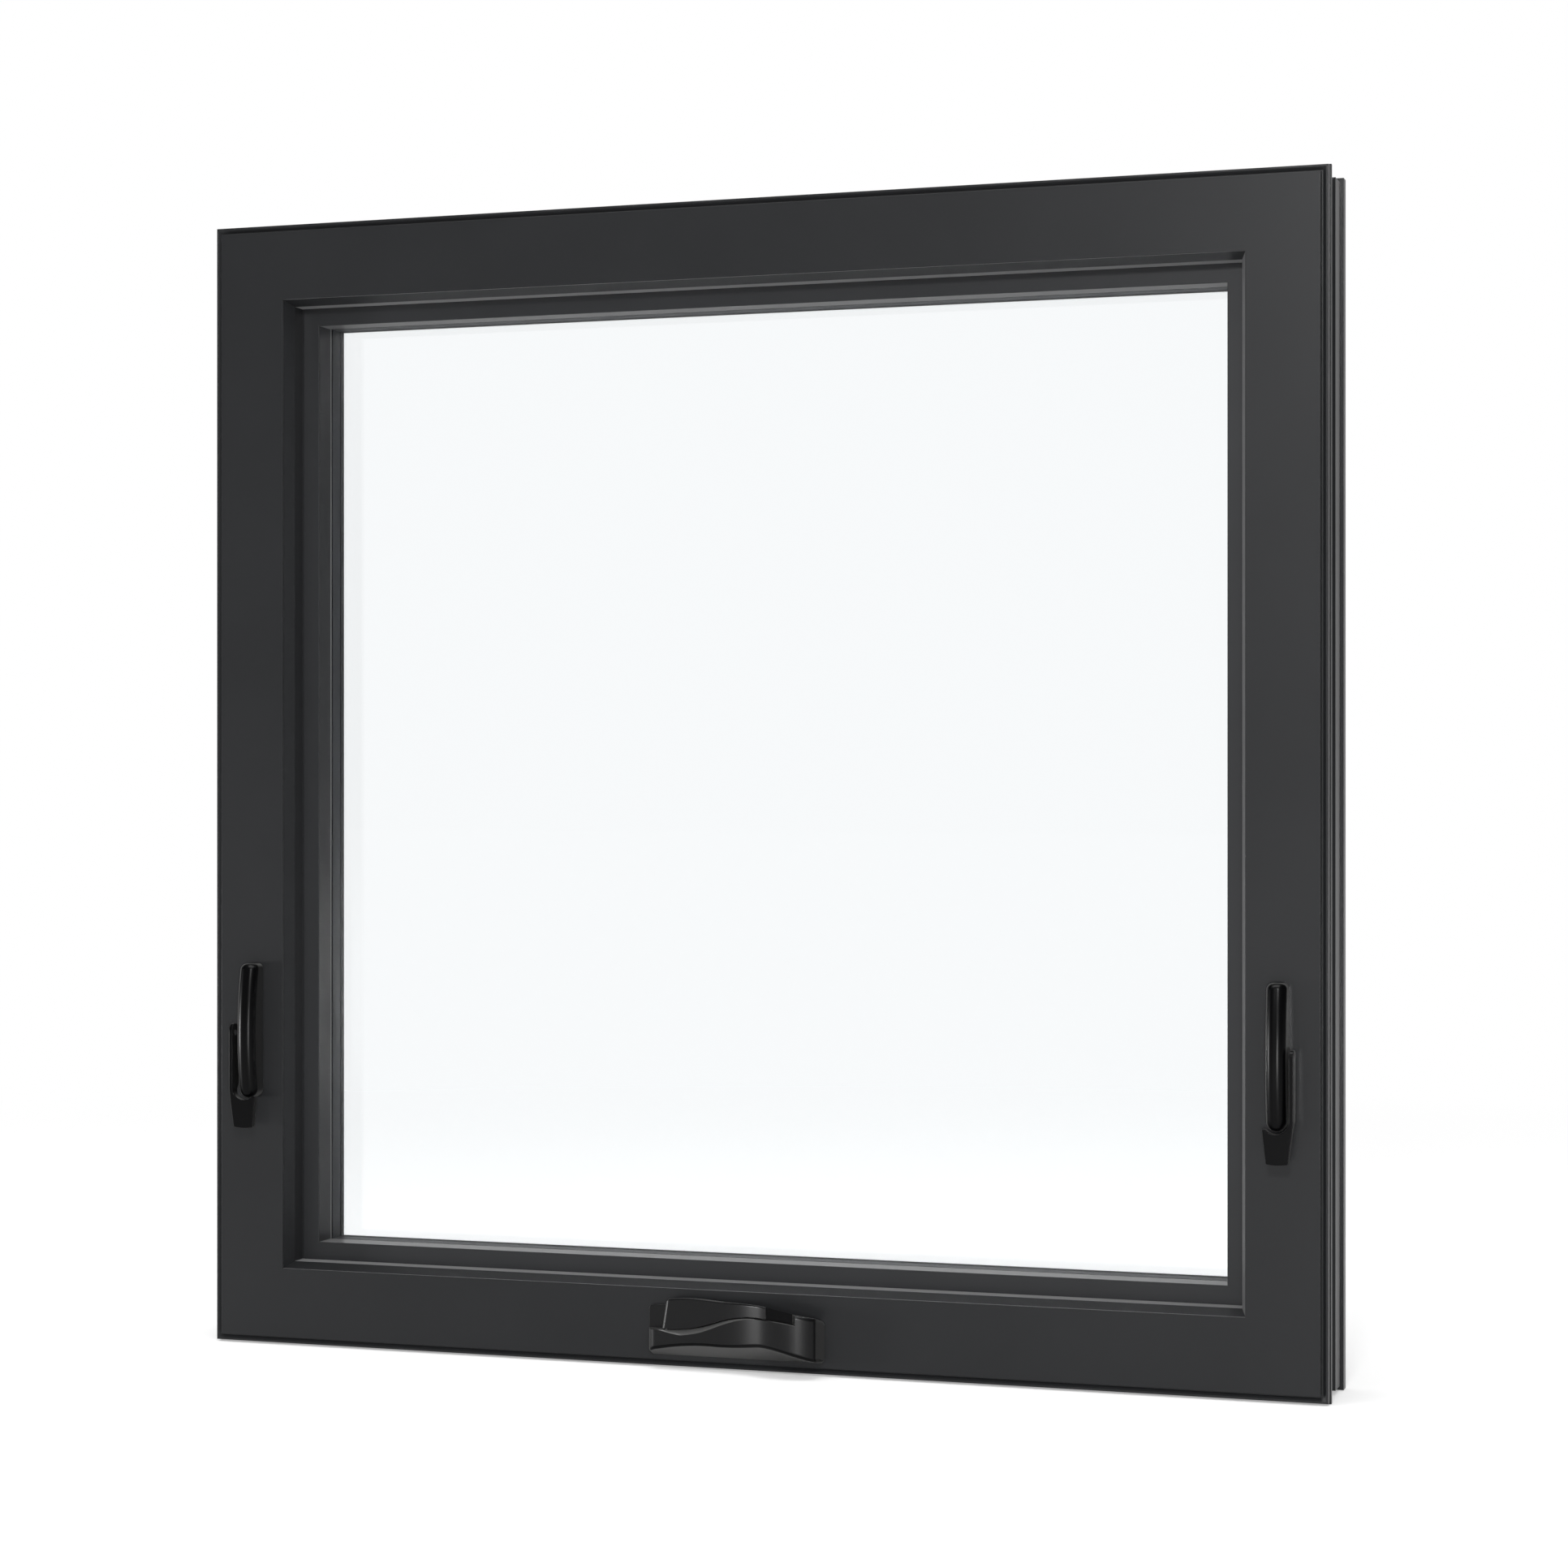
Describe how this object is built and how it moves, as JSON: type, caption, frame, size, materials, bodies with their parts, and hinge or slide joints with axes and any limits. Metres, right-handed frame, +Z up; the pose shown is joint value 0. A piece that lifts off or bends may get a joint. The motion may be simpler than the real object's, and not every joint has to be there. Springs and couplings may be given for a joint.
{
  "type": "top hung awning window",
  "caption": "Square top hung awning window with a rimmed metal frame, a recessed sash with a sealed double pane, side sash locks and a folding crank operator on the sill.",
  "frame": {"origin": "middle of the flat rear rim under the sill, on which the window stands in its wall opening", "axes": "+X to the right seen from the room, +Y to the outside, +Z up"},
  "size_m": [1, 0.1175, 1],
  "materials": {
    "frame_paint": "satin",
    "sash_paint": "satin",
    "window_glass": "polished",
    "spacer_bar": "satin",
    "seal_rubber": "matte",
    "hardware_black": "satin",
    "hardware_steel": "satin"
  },
  "bodies": {
    "window": {"frame_head": "frame_paint", "frame_sill": "frame_paint", "frame_jamb_left": "frame_paint", "frame_jamb_right": "frame_paint", "sash_top_rail": "sash_paint", "sash_bottom_rail": "sash_paint", "sash_left_stile": "sash_paint", "sash_right_stile": "sash_paint", "glazing_bead_top": "sash_paint", "glazing_bead_bottom": "sash_paint", "glazing_bead_left": "sash_paint", "glazing_bead_right": "sash_paint", "inner_pane": "window_glass", "outer_pane": "window_glass", "glass_spacer": "spacer_bar", "inner_glazing_gasket": "seal_rubber", "outer_glazing_gasket": "seal_rubber", "frame_weather_seal": "seal_rubber", "sash_weather_seal": "seal_rubber", "lock_left_housing": "hardware_black", "lock_left_pin": "hardware_steel", "lock_right_housing": "hardware_black", "lock_right_pin": "hardware_steel", "crank_cover": "hardware_black", "crank_fold_pin": "hardware_steel"},
    "left_lever": {"lock_left_lever": "hardware_black"},
    "right_lever": {"lock_right_lever": "hardware_black"},
    "crank_arm": {"crank_handle": "hardware_black", "crank_knob": "hardware_black"}
  },
  "joints": [
    {"name": "lock_left_turn", "type": "hinge", "parent": "window", "child": "left_lever", "pos_m": [-0.4727, -0.0925, 0.2786], "axis": [-1, 0, 0], "range_deg": [0, 150]},
    {"name": "lock_right_turn", "type": "hinge", "parent": "window", "child": "right_lever", "pos_m": [0.4727, -0.0925, 0.2786], "axis": [-1, 0, 0], "range_deg": [0, 150]},
    {"name": "crank_fold", "type": "hinge", "parent": "window", "child": "crank_arm", "pos_m": [-0.064, -0.08585, 0.04], "axis": [0, 0, -1], "range_deg": [0, 150]}
  ]
}
